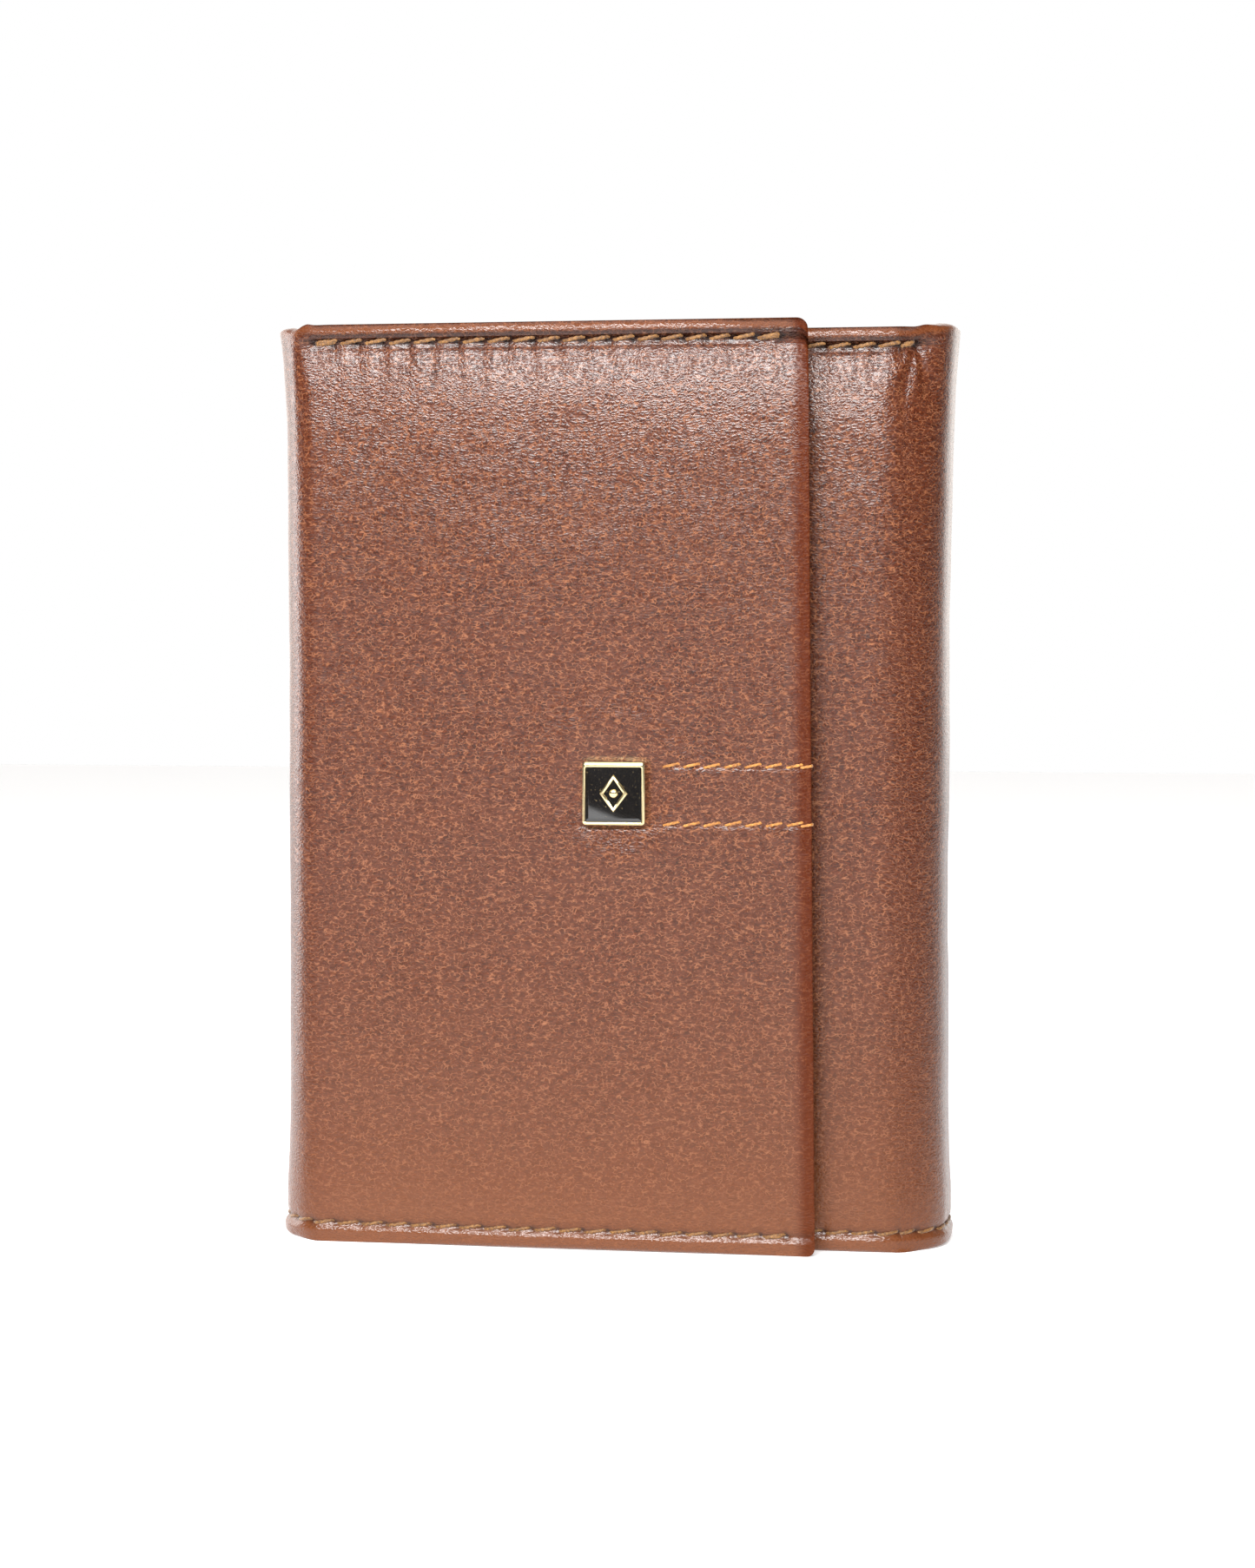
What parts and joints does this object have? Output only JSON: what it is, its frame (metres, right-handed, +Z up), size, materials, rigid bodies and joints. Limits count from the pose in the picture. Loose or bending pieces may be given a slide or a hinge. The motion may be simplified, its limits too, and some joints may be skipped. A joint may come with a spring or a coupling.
{
  "type": "trifold wallet",
  "caption": "Upright trifold leather wallet: two padded flaps fold over a zipped coin pocket, bill compartment and card slots, and close with a hidden magnet.",
  "frame": {"origin": "middle of the bounding box at its base, wallet closed and standing on its lower edges", "axes": "+X to the right seen from the front, +Y to the rear, +Z up; the outer flap and its emblem face -Y"},
  "size_m": [0.0936, 0.0324, 0.13],
  "materials": {
    "outer_leather": "satin, fine pebble grain, reddish brown",
    "pocket_leather": "satin, fine grain",
    "lining": "matt woven lining",
    "padding": "soft foam sheet",
    "thread": "twisted thread, golden brown",
    "gold_plate": "polished pale gold plate",
    "black_enamel": "glossy black enamel",
    "steel": "nickel-plated steel",
    "zip_tape": "woven tape",
    "zip_metal": "antique brass",
    "clear_film": "clear flexible film"
  },
  "bodies": {
    "back": {"back_leather": "outer_leather", "back_top_thread": "thread", "back_bottom_thread": "thread", "back_padding": "padding", "back_lining": "lining", "bill_base_gusset": "lining", "coin_rear_wall": "pocket_leather", "coin_gusset": "lining", "coin_front_wall": "pocket_leather", "card_slot_1": "pocket_leather", "card_slot_2": "pocket_leather", "card_slot_3": "pocket_leather", "zip_rear_tape": "zip_tape", "zip_front_tape": "zip_tape", "zip_chain": "zip_metal", "zip_left_stop": "zip_metal", "zip_right_stop": "zip_metal"},
    "left_spine": {"left_spine_leather": "outer_leather", "left_spine_bottom_thread": "thread", "left_spine_lining": "lining"},
    "right_spine": {"right_spine_leather": "outer_leather", "right_spine_bottom_thread": "thread", "right_spine_lining": "lining"},
    "outer_flap": {"outer_flap_leather": "outer_leather", "outer_flap_top_thread": "thread", "outer_flap_bottom_thread": "thread", "tab_upper_thread": "thread", "tab_lower_thread": "thread", "outer_flap_padding": "padding", "outer_flap_lining": "lining", "outer_slip_pocket": "pocket_leather", "window_frame": "pocket_leather", "window_film": "clear_film", "closure_tab": "pocket_leather", "magnet_cup": "steel", "closure_magnet": "steel", "emblem_plate": "gold_plate", "emblem_enamel": "black_enamel", "emblem_washer": "steel"},
    "inner_flap": {"inner_flap_leather": "outer_leather", "inner_flap_top_thread": "thread", "inner_flap_bottom_thread": "thread", "inner_flap_padding": "padding", "inner_flap_lining": "lining", "inner_slip_1": "pocket_leather", "inner_slip_2": "pocket_leather", "keeper_disc": "steel", "keeper_washer": "steel"},
    "zip_slider": {"zip_slider": "zip_metal"},
    "zip_puller": {"zip_puller": "zip_metal"}
  },
  "joints": [
    {"name": "left_spine_fold", "type": "hinge", "parent": "back", "child": "left_spine", "pos_m": [-0.04476, 0.01414, 0.065], "axis": [0, 0, -1], "range_deg": [0, 90]},
    {"name": "outer_flap_fold", "type": "hinge", "parent": "left_spine", "child": "outer_flap", "pos_m": [-0.04476, -0.01289, 0.065], "axis": [0, 0, -1], "range_deg": [0, 90]},
    {"name": "right_spine_fold", "type": "hinge", "parent": "back", "child": "right_spine", "pos_m": [0.04476, 0.01414, 0.065], "axis": [0, 0, 1], "range_deg": [0, 90]},
    {"name": "inner_flap_fold", "type": "hinge", "parent": "right_spine", "child": "inner_flap", "pos_m": [0.04476, -0.00769, 0.065], "axis": [0, 0, 1], "range_deg": [0, 90]},
    {"name": "zip_slide", "type": "slide", "parent": "back", "child": "zip_slider", "axis": [-1, 0, 0], "range_m": [0, 0.066]},
    {"name": "zip_pull_swing", "type": "hinge", "parent": "zip_slider", "child": "zip_puller", "pos_m": [0.034, 0.00502, 0.1151], "axis": [0, 1, 0], "range_deg": [0, 150]}
  ],
  "couplings": [
    {"joint": "outer_flap_fold", "follows": "left_spine_fold", "ratio": 1},
    {"joint": "right_spine_fold", "follows": "left_spine_fold", "ratio": 1},
    {"joint": "inner_flap_fold", "follows": "left_spine_fold", "ratio": 1}
  ]
}
